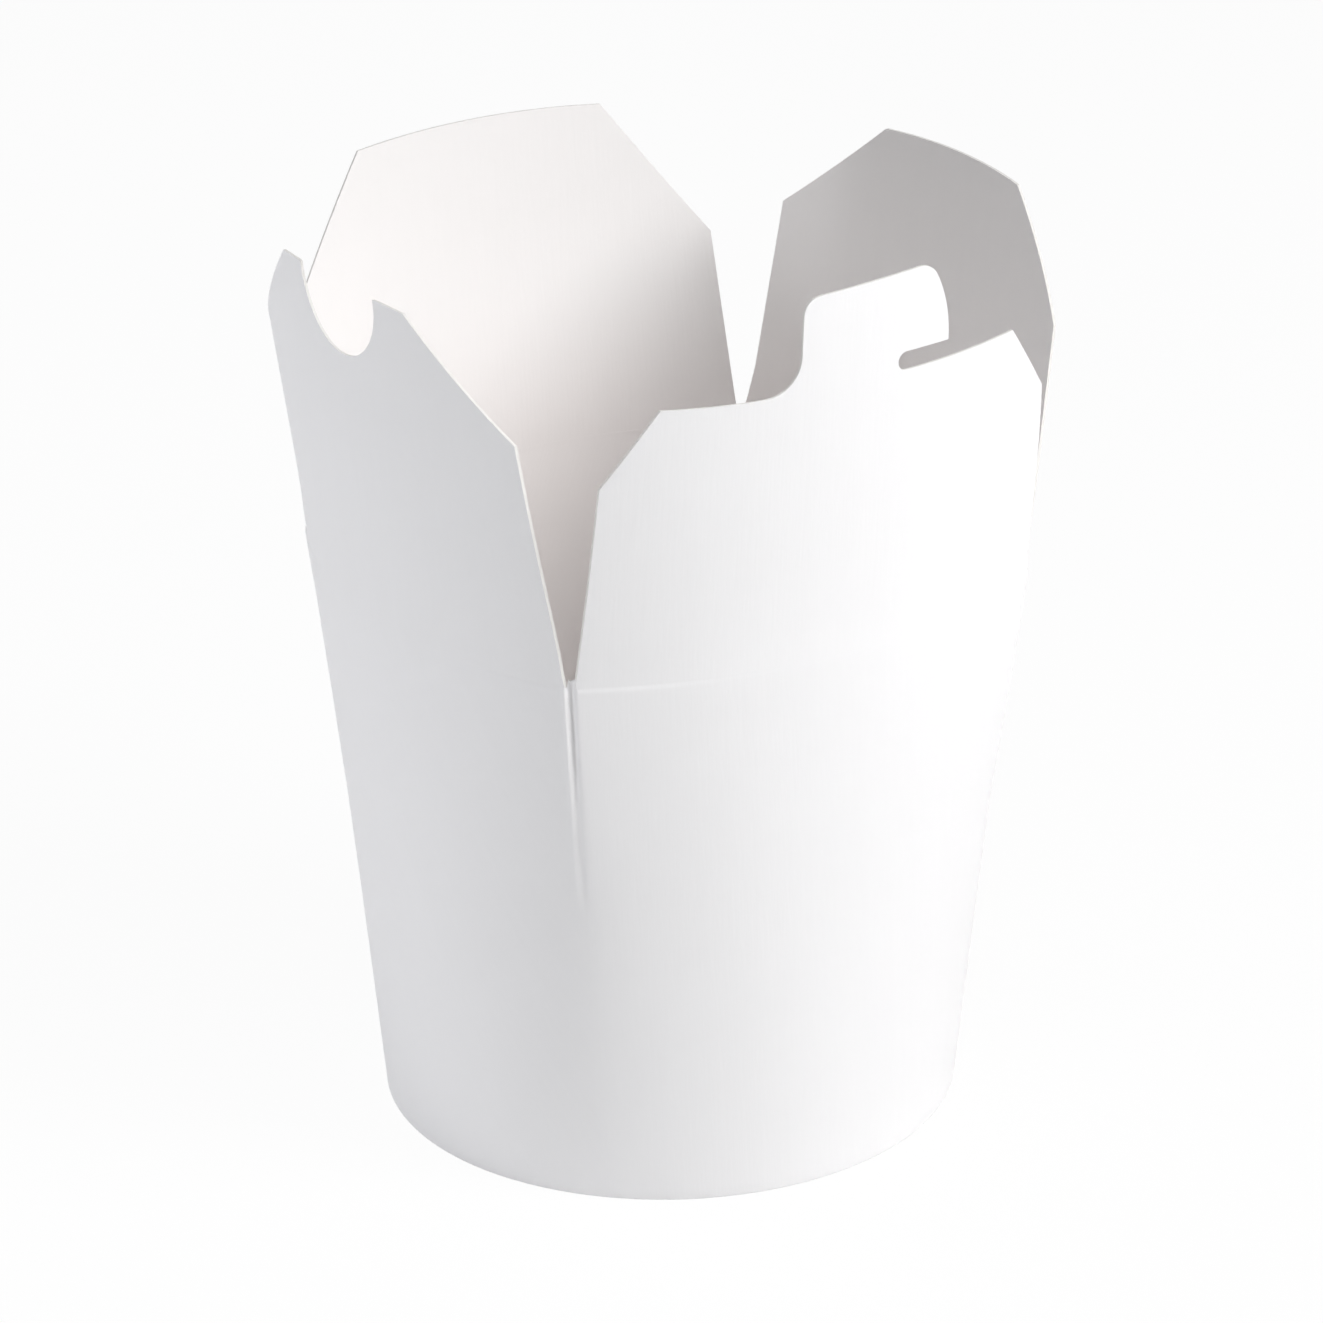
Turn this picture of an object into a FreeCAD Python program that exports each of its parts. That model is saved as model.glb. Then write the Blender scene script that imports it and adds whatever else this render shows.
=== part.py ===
import FreeCAD, Part
import os
from math import atan2, pi, sqrt

import Sketcher

# Takeout food box of folded paperboard, open, with its four closing flaps standing up.
#
# The side wall rises from a round foot to a rim of four bowed crease lines. Above
# each crease stands one flap: the front one ends in a hook, the left one has the
# notch that takes it, and the rear and right ones are plain. A recessed base disc
# is clamped by the hem that the wall's lower edge is turned into.
#
# Millimetres, +Z up, origin at the middle of the foot, front flap towards -Y.

VEC = FreeCAD.Vector
UP = VEC(0, 0, 1)

# Driving dimensions in millimetres.
SIZES = {
    # the board and the wall
    "board": 0.45,
    "base_radius": 48.5,
    "crease_height": 95.1,
    "crease_half_chord": 42.9,
    "crease_rise": 11.0,
    # the base disc and the hem that clamps it
    "ply_gap": 0.05,
    "base_recess": 8.0,
    "hem_height": 6.0,
    # the pressed score down each corner, and the glued side seam
    "score_radius": 0.8,
    "score_depth": 0.2,
    "score_length": 43.0,
    "seam_width": 9.0,
    "seam_margin": 1.4,
    # what the four flaps share
    "crease_gap": 0.3,
    "flap_root_half": 41.6,
    "flap_reach": 64.0,
    "flap_reach_rise": 7.1,
    # front flap with the hook
    "front_shoulder_half": 41.0,
    "front_shoulder_height": 34.2,
    "front_top_half": 32.4,
    "front_top_height": 46.1,
    "tongue_left": 9.9,
    "tongue_height": 61.5,
    "hook_height": 62.6,
    "hook_right": 17.7,
    "slit_end": 9.3,
    "slit_width": 3.1,
    "tongue_root_radius": 6.0,
    "tongue_corner_radius": 2.9,
    "hook_radius": 4.0,
    "hook_side_radius": 23.5,
    # rear flap
    "rear_shoulder_half": 40.7,
    "rear_shoulder_height": 34.4,
    "rear_top_half": 23.6,
    "rear_top_height": 58.35,
    "rear_top_bow": 0.9,
    # left and right flaps
    "side_shoulder_half": 39.2,
    "side_shoulder_height": 40.6,
    "side_top_half": 19.0,
    "side_top_height": 57.5,
    "side_top_bow": 0.6,
    "notch_radius": 11.5,
    "notch_drop": 0.4,
    "notch_offset": 0.2,
}

# How far the flaps lean outwards, in degrees.
LEANS = {
    "front_rear_lean": 7.6,
    "left_right_lean": 8.3,
}


def size_of(alias):
    """The expression that reads one cell of the sheet."""
    return f"Sizes.{alias}"


# Formulas on the sheet's cells that several sub-parts share.
CREASE_RADIUS = "((Sizes.crease_half_chord^2 + Sizes.crease_rise^2) / (2 * Sizes.crease_rise))"
CREASE_CENTRE = f"(Sizes.crease_half_chord + Sizes.crease_rise - {CREASE_RADIUS})"
REACH_RADIUS = "((Sizes.crease_half_chord^2 + Sizes.flap_reach_rise^2) / (2 * Sizes.flap_reach_rise))"
REACH_CENTRE = f"(Sizes.crease_half_chord + Sizes.flap_reach_rise - {REACH_RADIUS})"
FLANGE_INSET = "(Sizes.board + Sizes.ply_gap)"
HEM_INSET = "(2 * Sizes.board + 2 * Sizes.ply_gap)"
HEM_INNER_INSET = "(3 * Sizes.board + 2 * Sizes.ply_gap)"
FLANGE_INNER_INSET = "(2 * Sizes.board + Sizes.ply_gap)"
# A length that reaches right through the box, and what a score's cutter runs past the rim.
THROUGH = "(4 * Sizes.base_radius)"
ROD_OVERRUN = 1.0

doc = FreeCAD.newDocument("TakeoutBox")
sheet = doc.addObject("Spreadsheet::Sheet", "Sizes")
for row, (alias, value) in enumerate({**SIZES, **LEANS}.items(), start=1):
    sheet.set(f"A{row}", alias)
    sheet.set(f"B{row}", str(value))
    sheet.setAlias(f"B{row}", alias)
doc.recompute()


def number(expression):
    """The present value of an expression on the sheet."""
    return float(sheet.evalExpression(expression))


def arc_between(start, end, radius):
    """An arc under half a turn from start to end that bulges to the right of that way."""
    chord = end - start
    half = chord.Length / 2
    side = VEC(-chord.y, chord.x, 0).normalize()
    centre = (start + end) / 2 + side * sqrt(radius * radius - half * half)
    first = atan2(start.y - centre.y, start.x - centre.x)
    last = atan2(end.y - centre.y, end.x - centre.x)
    if last < first:
        last += 2 * pi
    return Part.ArcOfCircle(Part.Circle(centre, UP, radius), first, last)


def closed_sketch(name, corners, arcs=None, hollows=None):
    """A closed outline through corners, each an x and a y expression, anticlockwise.

    arcs gives the radius expression of each stretch, by the number of its first
    corner, that is an arc bulging outwards, and hollows of each that bulges inwards.
    """
    arcs = arcs or {}
    hollows = hollows or {}
    sketch = doc.addObject("Sketcher::SketchObject", name)
    points = [VEC(number(x), number(y), 0) for x, y in corners]
    count = len(points)
    for index, start in enumerate(points):
        end = points[(index + 1) % count]
        if index in arcs:
            stretch = arc_between(start, end, number(arcs[index]))
        elif index in hollows:
            stretch = arc_between(end, start, number(hollows[index]))
        else:
            stretch = Part.LineSegment(start, end)
        sketch.addGeometry(stretch, False)
    # An arc always runs anticlockwise, so a hollow one starts at its far corner.
    first_end = [2 if index in hollows else 1 for index in range(count)]
    last_end = [1 if index in hollows else 2 for index in range(count)]
    for index in range(count):
        following = (index + 1) % count
        join = ("Coincident", index, last_end[index], following, first_end[following])
        sketch.addConstraint(Sketcher.Constraint(*join))
    for index, (x, y) in enumerate(corners):
        for kind, value, expression in (
            ("DistanceX", points[index].x, x),
            ("DistanceY", points[index].y, y),
        ):
            place = (kind, -1, 1, index, first_end[index], value)
            rule = sketch.addConstraint(Sketcher.Constraint(*place))
            sketch.setExpression(f"Constraints[{rule}]", expression)
    for index, radius in {**arcs, **hollows}.items():
        rule = sketch.addConstraint(Sketcher.Constraint("Radius", index, number(radius)))
        sketch.setExpression(f"Constraints[{rule}]", radius)
    return sketch


def raise_to(item, height):
    """Puts a sketch or solid at a height given by an expression."""
    item.setExpression(".Placement.Base.z", height)
    return item


def stand_up(sketch):
    """Turns a sketch so that its x stays X and its y becomes Z."""
    sketch.Placement = FreeCAD.Placement(VEC(), FreeCAD.Rotation(VEC(1, 0, 0), 90))
    return sketch


def loft(name, *sections):
    """A solid with straight rulings from one section to the next."""
    item = doc.addObject("Part::Loft", name)
    item.Sections = list(sections)
    item.Solid = True
    item.Ruled = True
    return item


def boolean(kind, name, base, tool):
    """A Part::Cut or Part::Common of two solids."""
    item = doc.addObject(f"Part::{kind}", name)
    item.Base = base
    item.Tool = tool
    return item


def fuse(name, *shapes):
    """One solid from several that touch."""
    item = doc.addObject("Part::MultiFuse", name)
    item.Shapes = list(shapes)
    item.Refine = False
    return item


def extrude_through(name, sketch):
    """A prism of a standing sketch that runs right through the box along Y."""
    item = doc.addObject("Part::Extrusion", name)
    item.Base = sketch
    item.DirMode = "Normal"
    item.Solid = True
    item.Symmetric = True
    item.setExpression("LengthFwd", THROUGH)
    return item


def slab(name, low, high):
    """A wide horizontal slab between two heights, for cutting a length off the carton form."""
    item = doc.addObject("Part::Box", name)
    item.setExpression("Length", THROUGH)
    item.setExpression("Width", THROUGH)
    item.setExpression("Height", f"{high} - {low}")
    item.setExpression(".Placement.Base.x", f"-{THROUGH} / 2")
    item.setExpression(".Placement.Base.y", f"-{THROUGH} / 2")
    return raise_to(item, low)


def ring_sketch(name, corner, radius):
    """Four like arcs between four corners on the diagonals."""
    corners = [
        (f"-({corner})", f"-({corner})"),
        (corner, f"-({corner})"),
        (corner, corner),
        (f"-({corner})", corner),
    ]
    return closed_sketch(name, corners, dict.fromkeys(range(4), radius))


def carton_form(name, inset):
    """The solid inside the wall's outer surface moved inwards by inset.

    Straight rulings join the round foot to the rim, whose four arcs keep their
    centres while their radius loses the inset. The rim's corner is where two
    such arcs cross on the diagonal.
    """
    foot_radius = f"(Sizes.base_radius - {inset})"
    rim_radius = f"({CREASE_RADIUS} - {inset})"
    rim_corner = f"(({CREASE_CENTRE} + sqrt(2 * {rim_radius}^2 - {CREASE_CENTRE}^2)) / 2)"
    foot = ring_sketch(f"{name}_foot", f"({foot_radius} * sqrt(0.5))", foot_radius)
    rim = ring_sketch(f"{name}_rim", rim_corner, rim_radius)
    return loft(name, foot, raise_to(rim, size_of("crease_height")))


def corner_rod(name, quarter, radius):
    """A round rod along the upper part of one corner, outside the wall.

    Its axis stands off the corner by the score radius at its low end, and nears
    it by the score depth at the rim, so that what it presses fades out downwards.
    """
    foot_corner = number("Sizes.base_radius * sqrt(0.5)")
    rim_corner = number("Sizes.crease_half_chord")
    rim_height = number("Sizes.crease_height")
    low_height = rim_height - number("Sizes.score_length")
    score_radius = number("Sizes.score_radius")
    score_depth = number("Sizes.score_depth")

    def axis_point(height, stand_off):
        half = foot_corner + (rim_corner - foot_corner) * height / rim_height
        half += stand_off * sqrt(0.5)
        return VEC(half, half, height)

    low = axis_point(low_height, score_radius)
    high = axis_point(rim_height, score_radius - score_depth)
    along = high - low
    item = doc.addObject("Part::Cylinder", name)
    item.setExpression("Radius", radius)
    item.Height = along.Length + ROD_OVERRUN
    turn = FreeCAD.Placement(VEC(), FreeCAD.Rotation(UP, 90 * quarter))
    item.Placement = turn.multiply(FreeCAD.Placement(low, FreeCAD.Rotation(UP, along)))
    return item


def build_side_wall(outer):
    """The folded and glued wall: shell, hem, four corner scores and the lap of the seam."""
    shell = boolean("Cut", "wall_shell", outer, carton_form("wall_inside", size_of("board")))
    hem_core = carton_form("hem_inside", HEM_INNER_INSET)

    hem_length = boolean(
        "Common", "hem_length", carton_form("hem_outside", HEM_INSET),
        slab("hem_slab", "0", size_of("hem_height")),
    )
    hem_ply = boolean("Cut", "hem_ply", hem_length, hem_core)
    web_disc = boolean("Common", "web_disc", outer, slab("web_slab", "0", size_of("board")))
    web = boolean("Cut", "hem_web", web_disc, hem_core)

    beads = []
    grooves = []
    for quarter in range(4):
        rod = corner_rod(f"bead_rod_{quarter}", quarter, "Sizes.score_radius + Sizes.board")
        beads.append(boolean("Common", f"bead_{quarter}", rod, outer))
        grooves.append(corner_rod(f"groove_rod_{quarter}", quarter, size_of("score_radius")))

    body = fuse("wall_body", shell, hem_ply, web, build_seam(outer), *beads)
    wall = boolean("Cut", "side_wall", body, fuse("grooves", *grooves))
    wall.Label = "side_wall"
    return wall


def build_seam(outer):
    """The outer lap of the glued seam: a second ply on the rear panel, by its right corner."""
    foot_edge = "(Sizes.base_radius * sqrt(0.5) - Sizes.seam_margin)"
    rim_edge = "(Sizes.crease_half_chord - Sizes.seam_margin)"
    corners = [
        (f"{foot_edge} - Sizes.seam_width", "0"),
        (foot_edge, "0"),
        (rim_edge, size_of("crease_height")),
        (f"{rim_edge} - Sizes.seam_width", size_of("crease_height")),
    ]
    strip = doc.addObject("Part::Extrusion", "seam_strip")
    strip.Base = stand_up(closed_sketch("seam_outline", corners))
    strip.DirMode = "Custom"
    strip.Dir = VEC(0, 1, 0)
    strip.Solid = True
    strip.setExpression("LengthFwd", THROUGH)
    lap_form = carton_form("seam_form", "(-Sizes.board)")
    lap = boolean("Common", "seam_lap", lap_form, strip)
    return boolean("Cut", "seam", lap, outer)


def build_base_disc():
    """The disc that closes the foot, with its flange turned down into the hem."""
    blank = boolean(
        "Common", "disc_blank", carton_form("flange_outside", FLANGE_INSET),
        slab("disc_slab", size_of("board"), size_of("base_recess")),
    )
    hollow = boolean(
        "Common", "disc_hollow", carton_form("flange_inside", FLANGE_INNER_INSET),
        slab("disc_hollow_slab", "0", "(Sizes.base_recess - Sizes.board)"),
    )
    disc = boolean("Cut", "base_disc", blank, hollow)
    disc.Label = "base_disc"
    return disc


def board_section(name, radius, centre, shift):
    """The board's section at one height of a front flap: two arcs a board apart.

    The outer arc spans the crease's chord, with its middle line at centre. shift
    is how far the lean has carried the section outwards at that height.
    """
    half = size_of("crease_half_chord")
    inner_radius = f"({radius} - Sizes.board)"
    outer_place = f"-({centre} + {shift} + sqrt({radius}^2 - {half}^2))"
    inner_place = f"-({centre} + {shift} + sqrt({inner_radius}^2 - {half}^2))"
    corners = [
        (f"-{half}", outer_place),
        (half, outer_place),
        (half, inner_place),
        (f"-{half}", inner_place),
    ]
    return closed_sketch(name, corners, {0: radius}, {2: inner_radius})


def level(distance, lean):
    """The height of a point at a distance up a flap that leans outwards."""
    return f"(Sizes.crease_height + ({distance}) * cos({lean}))"


def build_flap(name, quarter, lean, outline, notch=None):
    """One flap: the curved and leaning board, cut to its outline and turned to its side.

    It is built at the front, facing -Y, and quarter turns it anticlockwise.
    """
    root = board_section(f"{name}_root", CREASE_RADIUS, CREASE_CENTRE, "0")
    raise_to(root, size_of("crease_height"))
    shift = f"(Sizes.flap_reach * sin({lean}))"
    reach = board_section(f"{name}_reach", REACH_RADIUS, REACH_CENTRE, shift)
    raise_to(reach, level(size_of("flap_reach"), lean))
    sheet_form = loft(f"{name}_form", root, reach)
    prism = extrude_through(f"{name}_prism", stand_up(outline))
    if notch:
        prism = boolean("Cut", f"{name}_notched", prism, notch)
    flap = boolean("Common", name, sheet_form, prism)
    flap.Placement = FreeCAD.Placement(VEC(), FreeCAD.Rotation(UP, 90 * quarter))
    flap.Label = name
    return flap


def plain_outline(name, prefix, lean):
    """A flap's outline with two cut corners and a slightly bowed top edge."""
    gap = "(Sizes.crease_height + Sizes.crease_gap)"
    root = size_of("flap_root_half")
    shoulder = size_of(f"{prefix}_shoulder_half")
    shoulder_level = level(size_of(f"{prefix}_shoulder_height"), lean)
    top = size_of(f"{prefix}_top_half")
    top_level = level(size_of(f"{prefix}_top_height"), lean)
    bow = size_of(f"{prefix}_top_bow")
    corners = [
        (f"-{root}", gap),
        (root, gap),
        (shoulder, shoulder_level),
        (top, top_level),
        (f"-{top}", top_level),
        (f"-{shoulder}", shoulder_level),
    ]
    return closed_sketch(name, corners, {3: f"(({top}^2 + {bow}^2) / (2 * {bow}))"})


def hook_outline(name, lean):
    """The front flap's outline: a tongue with a rounded hook over a round-ended slit."""
    gap = "(Sizes.crease_height + Sizes.crease_gap)"
    root = size_of("flap_root_half")
    shoulder = size_of("front_shoulder_half")
    shoulder_level = level("Sizes.front_shoulder_height", lean)
    top = size_of("front_top_half")
    top_level = level("Sizes.front_top_height", lean)
    slit_radius = "(Sizes.slit_width / 2)"
    # The hook's side is an arc about a point level with its foot, and its corner one that
    # touches that arc and the top. The corner's centre lies this far across and up from there.
    hook_foot = f"({top_level} + Sizes.slit_width)"
    hook_level = level("Sizes.hook_height", lean)
    side_centre = "(Sizes.hook_right - Sizes.hook_side_radius)"
    up = f"({hook_level} - Sizes.hook_radius - {hook_foot})"
    between = "(Sizes.hook_side_radius - Sizes.hook_radius)"
    across = f"sqrt({between}^2 - {up}^2)"
    share = f"(Sizes.hook_side_radius / {between})"
    corners = [
        (f"-{root}", gap),
        (root, gap),
        (shoulder, shoulder_level),
        (top, top_level),
        ("Sizes.slit_end", top_level),
        (f"Sizes.slit_end - {slit_radius}", f"{top_level} + {slit_radius}"),
        ("Sizes.slit_end", hook_foot),
        ("Sizes.hook_right", hook_foot),
        (f"{side_centre} + {across} * {share}", f"{hook_foot} + {up} * {share}"),
        (f"{side_centre} + {across}", hook_level),
        ("Sizes.tongue_corner_radius - Sizes.tongue_left", level("Sizes.tongue_height", lean)),
        ("-Sizes.tongue_left", f"{level('Sizes.tongue_height', lean)} - Sizes.tongue_corner_radius"),
        ("-Sizes.tongue_left", f"{top_level} + Sizes.tongue_root_radius"),
        ("-(Sizes.tongue_left + Sizes.tongue_root_radius)", top_level),
        (f"-{top}", top_level),
        (f"-{shoulder}", shoulder_level),
    ]
    arcs = {
        7: "Sizes.hook_side_radius",
        8: "Sizes.hook_radius",
        10: "Sizes.tongue_corner_radius",
    }
    hollows = {4: slit_radius, 5: slit_radius, 12: "Sizes.tongue_root_radius"}
    return closed_sketch(name, corners, arcs, hollows)


def notch_rod(lean):
    """The round cutter of the left flap's notch, lying along Y."""
    item = doc.addObject("Part::Cylinder", "notch_rod")
    item.setExpression("Radius", size_of("notch_radius"))
    item.setExpression("Height", THROUGH)
    item.Placement.Rotation = FreeCAD.Rotation(VEC(1, 0, 0), 90)
    item.setExpression(".Placement.Base.x", "-Sizes.notch_offset")
    return raise_to(item, level("Sizes.side_top_height - Sizes.notch_drop", lean))


def check_document():
    """Stops if any object of the document failed or any sub-part's shape is unsound."""
    for item in doc.Objects:
        if "Invalid" in item.State or "Error" in item.State:
            raise RuntimeError(f"{item.Name} is {item.State}")
    for piece in pieces:
        if piece.Shape.isNull() or not piece.Shape.isValid():
            raise RuntimeError(f"{piece.Label} has no sound shape")
        if len(piece.Shape.Solids) != 1:
            raise RuntimeError(f"{piece.Label} has {len(piece.Shape.Solids)} solids")


carton_outside = carton_form("wall_outside", "0")
front_rear = size_of("front_rear_lean")
left_right = size_of("left_right_lean")
pieces = [
    build_side_wall(carton_outside),
    build_base_disc(),
    build_flap("hook_flap", 0, front_rear, hook_outline("hook_outline", front_rear)),
    build_flap("right_flap", 1, left_right, plain_outline("right_outline", "side", left_right)),
    build_flap("rear_flap", 2, front_rear, plain_outline("rear_outline", "rear", front_rear)),
    build_flap(
        "notch_flap", 3, left_right, plain_outline("notch_outline", "side", left_right),
        notch_rod(left_right),
    ),
]
doc.recompute()
check_document()

os.makedirs("parts", exist_ok=True)
for piece in pieces:
    piece.Shape.exportStep(f"parts/{piece.Label}.step")
    print(piece.Label, round(piece.Shape.Volume, 1), piece.Shape.BoundBox)
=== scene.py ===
"""Takeout food box of white paperboard: surfaces, finishes, studio and camera.

The wall, the base disc and the four flaps are surfaces worked out from the box's
own sizes, in millimetres, and put into meshes in metres. The front flap faces -Y.
"""

import logging
import math
from dataclasses import dataclass
from enum import Enum
from typing import Any, Optional, Union

import bpy
import numpy as np
from mathutils import Matrix, geometry


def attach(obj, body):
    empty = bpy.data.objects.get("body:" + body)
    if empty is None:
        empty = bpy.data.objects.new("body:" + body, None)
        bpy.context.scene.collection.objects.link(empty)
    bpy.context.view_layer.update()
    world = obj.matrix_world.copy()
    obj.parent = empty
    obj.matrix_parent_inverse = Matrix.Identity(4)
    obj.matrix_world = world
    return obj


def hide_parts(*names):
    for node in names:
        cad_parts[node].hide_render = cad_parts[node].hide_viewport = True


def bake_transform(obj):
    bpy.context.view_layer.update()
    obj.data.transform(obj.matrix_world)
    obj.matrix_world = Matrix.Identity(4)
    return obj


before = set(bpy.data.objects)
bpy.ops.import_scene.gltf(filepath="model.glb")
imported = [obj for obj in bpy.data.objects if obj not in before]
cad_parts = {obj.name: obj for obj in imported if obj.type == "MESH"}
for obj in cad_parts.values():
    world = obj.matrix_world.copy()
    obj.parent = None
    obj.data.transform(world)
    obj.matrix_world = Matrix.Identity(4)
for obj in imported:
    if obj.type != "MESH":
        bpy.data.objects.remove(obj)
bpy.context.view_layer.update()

log = logging.getLogger("takeout_box")

MM = 0.001
SHARP_ANGLE = math.radians(35)
NET_TOLERANCE = 1e-5
COOL_WHITE = (0.96, 0.97, 1.0)

Array = np.ndarray
Value = Union[float, tuple, "Socket"]


def joined(*parts: Any) -> Array:
    """Arrays and numbers, stretched to one shape and put side by side along a new last axis."""
    return np.stack(np.broadcast_arrays(*parts), axis=-1)


def ease(share: Array) -> Array:
    """A share held between 0 and 1, with a flat start and end: 3 times its square less 2 cubes."""
    share = np.clip(share, 0, 1)
    return share * share * (3 - 2 * share)


def add_object(name: str, data: Any) -> bpy.types.Object:
    """Makes an object and puts it in the scene.

    Args:
        name: the object's name.
        data: its mesh, lamp or camera.

    Returns:
        The object.
    """
    item = bpy.data.objects.new(name, data)
    bpy.context.scene.collection.objects.link(item)
    return item


class Face(Enum):
    """Which finish a face of the board has, as the number of its material slot."""

    OUTSIDE = 0
    INSIDE = 1
    CUT = 2


class Side(Enum):
    """The four sides of the box, as quarter turns anticlockwise from the front."""

    FRONT = 0
    RIGHT = 1
    REAR = 2
    LEFT = 3

    @property
    def sense(self) -> int:
        """1 on the left and right sides, where the corner scores stand, and -1 on the others."""
        return 1 if self in (Side.LEFT, Side.RIGHT) else -1

    def turn(self, points: Array) -> Array:
        """Turns points made for the front side to this side, about Z.

        Args:
            points: an array whose last axis is x, y, z.

        Returns:
            The turned points.
        """
        angle = self.value * math.pi / 2
        cosine, sine = round(math.cos(angle)), round(math.sin(angle))
        x, y, z = points[..., 0], points[..., 1], points[..., 2]
        return joined(cosine * x - sine * y, sine * x + cosine * y, z)


@dataclass(frozen=True)
class CartonForm:
    """The form that the board follows, with its sizes in millimetres.

    The corner scores stand a little way round on the left and right sides. A low web
    of board closes the foot of each cut between two flaps.
    """

    board: float = 0.45
    ply_gap: float = 0.05
    base_radius: float = 48.5
    crease_height: float = 95.1
    half_chord: float = 42.9
    crease_rise: float = 11.0
    flap_reach: float = 64.0
    flap_reach_rise: float = 7.1
    score_depth: float = 0.7
    score_spread: float = 0.62
    score_bead: float = 0.22
    score_bead_offset: float = 1.05
    score_bead_spread: float = 0.42
    score_bead_end: float = 44.0
    score_bead_fade: float = 38.0
    score_length: float = 43.0
    score_deep_end: float = 23.0
    score_deep_fade: float = 13.0
    score_low_share: float = 0.4
    score_low_end: float = 41.0
    score_low_fade: float = 6.0
    corner_shift: float = 0.75
    corner_shift_fade: float = 12.0
    corner_kink: float = 0.29
    sharp_round: float = 0.25
    soft_round: float = 4.5
    foot_clear: float = 8.0
    foot_fade: float = 20.0
    crease_depth: float = 0.19
    crease_bead: float = 1.0
    crease_fade: float = 5.0
    crease_middle_share: float = 0.22
    crease_strong_end: float = 9.0
    crease_strong_fade: float = 17.0
    web_height: float = 0.9
    web_slope: float = 0.7
    web_start: float = -0.4
    web_end: float = 1.3
    web_step: float = 0.14
    fold_ease: float = 0.5
    fold_length: float = 6.0
    flap_length: float = 57.5
    corner_follow: float = 7.0

    @staticmethod
    def arc(half: float, rise: float) -> tuple[float, float]:
        """The radius of an arc over a chord, and its centre's distance from the box's middle line.

        Args:
            half: half the chord, which also is the chord's own distance from the middle.
            rise: how far the arc bows out from its chord.

        Returns:
            The radius and the centre's distance.
        """
        radius = (half * half + rise * rise) / (2 * rise)
        return radius, half + rise - radius

    def wall_half_length(self, height: Array) -> Array:
        """Half a side's length along the wall, between the foot's and the rim's.

        Args:
            height: height above the foot.

        Returns:
            The half length at that height.
        """
        radius, _ = self.arc(self.half_chord, self.crease_rise)
        foot = self.base_radius * math.pi / 4
        rim = radius * math.asin(self.half_chord / radius)
        return foot + (rim - foot) * height / self.crease_height

    def wall(self, across: Array, height: Array, inset: Array) -> Array:
        """Points of the front side's wall.

        Formula: a straight ruling joins the foot's circle, at an angle of across
        times 45 degrees, to the rim's arc, at the same share of its own half
        angle. Both lose the inset from their radius and keep their centre, and
        the rim's half angle ends where two such arcs cross on the diagonal.

        Args:
            across: from -1 at the left corner to 1 at the right one.
            height: height above the foot.
            inset: distance inwards from the outer surface.

        Returns:
            x, y and z of each point.
        """
        radius, centre = self.arc(self.half_chord, self.crease_rise)
        rim_radius = radius - inset
        corner = (centre + np.sqrt(2 * rim_radius ** 2 - centre ** 2)) / 2
        rim_angle = across * np.arcsin(corner / rim_radius)
        foot_angle = across * math.pi / 4
        foot_radius = self.base_radius - inset
        share = height / self.crease_height
        x = (1 - share) * foot_radius * np.sin(foot_angle) + share * rim_radius * np.sin(rim_angle)
        out = (1 - share) * foot_radius * np.cos(foot_angle)
        out = out + share * (centre + rim_radius * np.cos(rim_angle))
        return joined(x, -out, height)

    def crease_press(self, rise: Array, from_corner: Array) -> Array:
        """How deep the board stands in by the crease, which leaves a fine bead under it.

        Formula: full depth at the crease, an exponential decay up the flap, and an
        eased step back to nothing down the wall. It is strong near the corners
        and weak in the middle of a side.

        Args:
            rise: distance up from the crease.
            from_corner: distance from the side's nearer corner.

        Returns:
            The distance inwards.
        """
        middle = ease((from_corner - self.crease_strong_end) / self.crease_strong_fade)
        strength = 1 - (1 - self.crease_middle_share) * middle
        above = np.exp(-np.maximum(rise, 0) / self.crease_fade)
        below = 1 - ease(-rise / self.crease_bead)
        return self.crease_depth * strength * above * below

    def corner_press(self, signed: Array, height: Array) -> Array:
        """How far the board stands in from the sharp corner that its rulings would make.

        Formula: the score is a bell curve about the shifted corner, deep near the
        rim and shallow below, with a finer bead beside it. The corner's round is a
        hyperbola's distance from its two asymptotes, whose slope grows from nothing
        at the foot to the rim's kink, and it is wide where there is no score. What
        the shift adds on each side fades away from the corner.

        Args:
            signed: distance from the corner along the wall, positive on the left
                and right sides.
            height: height above the foot.

        Returns:
            The distance inwards.
        """
        depth_below = self.crease_height - height
        upper = ease((self.score_deep_end - depth_below) / self.score_deep_fade)
        lower = ease((self.score_low_end - depth_below) / self.score_low_fade)
        strength = self.score_low_share * lower + (1 - self.score_low_share) * upper
        offset = signed - self.corner_shift
        score = self.score_depth * strength * np.exp(-((offset / self.score_spread) ** 2))
        beside = (offset - self.score_bead_offset) / self.score_bead_spread
        fading = ease((self.score_bead_end - depth_below) / self.score_bead_fade)
        score = score - self.score_bead * fading * np.exp(-(beside ** 2))
        along = np.clip(1 - depth_below / self.score_length, 0, 1)
        kink = self.corner_kink * height / self.crease_height
        kink = kink * np.clip((height - self.foot_clear) / self.foot_fade, 0, 1)
        width = self.sharp_round + (self.soft_round - self.sharp_round) * (1 - along) ** 2
        fade = 1 - np.exp(-((signed / self.corner_shift_fade) ** 2))
        drift = np.sign(signed) * self.corner_shift * fade
        return score + kink * (np.sqrt(offset ** 2 + width ** 2) - np.abs(signed) + drift)

    def web_rise(self, signed: Array) -> Array:
        """How far the rim stands above the crease: a web, lowest where the score meets it.

        Args:
            signed: distance from the corner, positive on the left and right sides.

        Returns:
            The height above the crease.
        """
        middle = (self.web_start + self.web_end) / 2
        half = (self.web_end - self.web_start) / 2
        share = np.clip((half - np.abs(signed - middle)) / self.web_step, 0, 1)
        return (self.web_height + self.web_slope * np.abs(signed - self.corner_shift)) * share

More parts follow.
